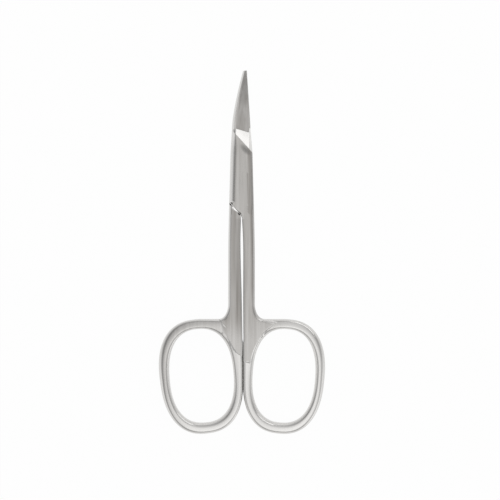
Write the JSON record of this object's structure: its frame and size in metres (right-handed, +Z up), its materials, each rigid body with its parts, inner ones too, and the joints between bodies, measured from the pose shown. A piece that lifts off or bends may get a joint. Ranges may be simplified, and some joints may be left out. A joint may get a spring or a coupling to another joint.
{
  "type": "nail scissors",
  "caption": "Curved nail scissors with slim pointed blades, a lap joint with a countersunk pivot screw, long flat shanks and oval finger loops.",
  "frame": {"origin": "under the centre of the closed scissors' outline, on the plane that they lie on", "axes": "+Y towards the blade tips, +Z up out of the front face, +X to the right-hand finger loop"},
  "size_m": [0.0416, 0.09, 0.0064],
  "materials": {
    "steel": "satin ground faces with polished rounded edges and loops",
    "screw_steel": "turned, plain"
  },
  "bodies": {
    "rear": {"rear_half": "steel"},
    "front": {"front_half": "steel", "pivot_screw": "screw_steel"}
  },
  "joints": [
    {"name": "pivot", "type": "hinge", "parent": "rear", "child": "front", "pos_m": [-0.00011, 0.017, 0.0016], "axis": [0, 0, 1], "range_deg": [0, 60]}
  ]
}
